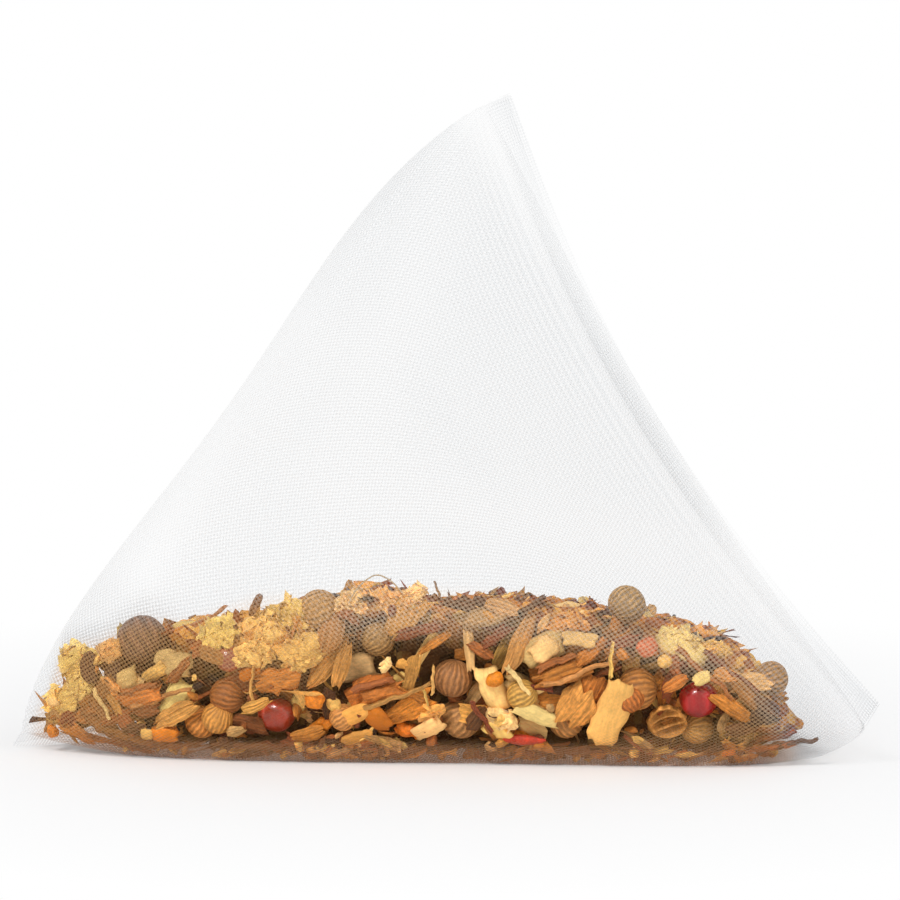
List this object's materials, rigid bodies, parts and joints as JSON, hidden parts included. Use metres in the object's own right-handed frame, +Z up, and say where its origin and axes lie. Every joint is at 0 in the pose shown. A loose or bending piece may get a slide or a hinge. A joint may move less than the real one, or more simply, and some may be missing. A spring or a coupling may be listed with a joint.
{
  "type": "pyramid tea bag",
  "caption": "Pyramid-shaped tea bag of clear woven mesh with crossed end seals, holding a loose blend of seeds, berries, bark and roots.",
  "frame": {"origin": "middle of the bag's footprint, on the surface that it stands on", "axes": "+X along the front edge to the right-hand corner, +Y to the back, +Z up"},
  "size_m": [0.0588, 0.038, 0.0448],
  "materials": {
    "mesh_film": "clear woven monofilament mesh",
    "herb_dust": "fine-cut dry herb",
    "seed_shell": "dry ribbed seed shell",
    "dark_seed": "dry dark seed shell",
    "red_berry": "smooth dried berry skin",
    "pale_root": "dry fibrous root",
    "beige_chip": "dry cut root",
    "bark": "dry broken bark",
    "dry_leaf": "dry leaf",
    "stem": "dry stem",
    "zest": "dry citrus peel",
    "petal": "crumpled dry petal"
  },
  "bodies": {
    "root": {"mesh_bag": "mesh_film", "herb_fill": "herb_dust", "coriander_seed_01": "seed_shell", "coriander_seed_02": "seed_shell", "coriander_seed_03": "seed_shell", "coriander_seed_04": "seed_shell", "coriander_seed_05": "seed_shell", "coriander_seed_06": "seed_shell", "coriander_seed_07": "seed_shell", "coriander_seed_08": "seed_shell", "coriander_seed_09": "seed_shell", "coriander_seed_10": "seed_shell", "coriander_seed_11": "seed_shell", "coriander_seed_12": "seed_shell", "coriander_seed_13": "seed_shell", "dark_seed_01": "dark_seed", "split_husk_01": "seed_shell", "red_berry_01": "red_berry", "red_berry_02": "red_berry", "red_berry_03": "red_berry", "red_berry_04": "red_berry", "root_flake_01": "pale_root", "root_flake_02": "pale_root", "root_flake_03": "pale_root", "root_flake_04": "pale_root", "root_flake_05": "pale_root", "root_flake_06": "pale_root", "beige_chip_01": "beige_chip", "beige_chip_02": "beige_chip", "beige_chip_03": "beige_chip", "beige_chip_04": "beige_chip", "beige_chip_05": "beige_chip", "bark_chip_01": "bark", "bark_chip_02": "bark", "bark_chip_03": "bark", "bark_chip_04": "bark", "bark_chip_05": "bark", "zest_bit_01": "zest", "zest_bit_02": "zest", "zest_bit_03": "zest", "zest_bit_04": "zest", "zest_bit_05": "zest", "leaf_blade_01": "dry_leaf", "leaf_blade_02": "dry_leaf", "leaf_blade_03": "dry_leaf", "leaf_blade_04": "dry_leaf", "leaf_blade_05": "dry_leaf", "leaf_strip_01": "pale_root", "leaf_strip_02": "pale_root", "petal_01": "petal", "petal_02": "petal", "petal_03": "petal", "stem_01": "stem", "stem_02": "stem", "stick_01": "bark", "stick_02": "bark", "stick_03": "bark", "calyx_01": "bark"}
  },
  "joints": []
}
